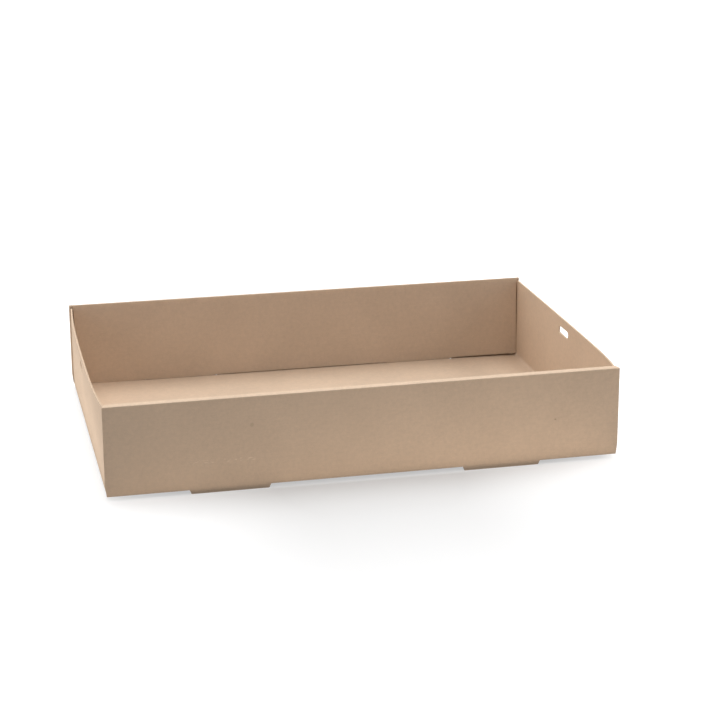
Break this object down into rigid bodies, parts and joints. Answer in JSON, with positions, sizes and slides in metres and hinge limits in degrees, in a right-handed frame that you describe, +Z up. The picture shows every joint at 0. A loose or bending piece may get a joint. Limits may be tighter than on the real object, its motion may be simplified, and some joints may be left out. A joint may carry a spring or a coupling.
{
  "type": "cardboard tray box",
  "caption": "Open rectangular cardboard catering tray folded from one sheet, with double long walls, single end walls with oval hand slots, and low feet.",
  "frame": {"origin": "under the middle of the tray, at the tips of its feet", "axes": "+X along the long walls, +Y towards the back long wall, +Z up"},
  "size_m": [0.4566, 0.31, 0.0838],
  "materials": {
    "kraft_board": "matte unbleached kraft board"
  },
  "bodies": {
    "root": {"folded_tray": "kraft_board"}
  },
  "joints": []
}
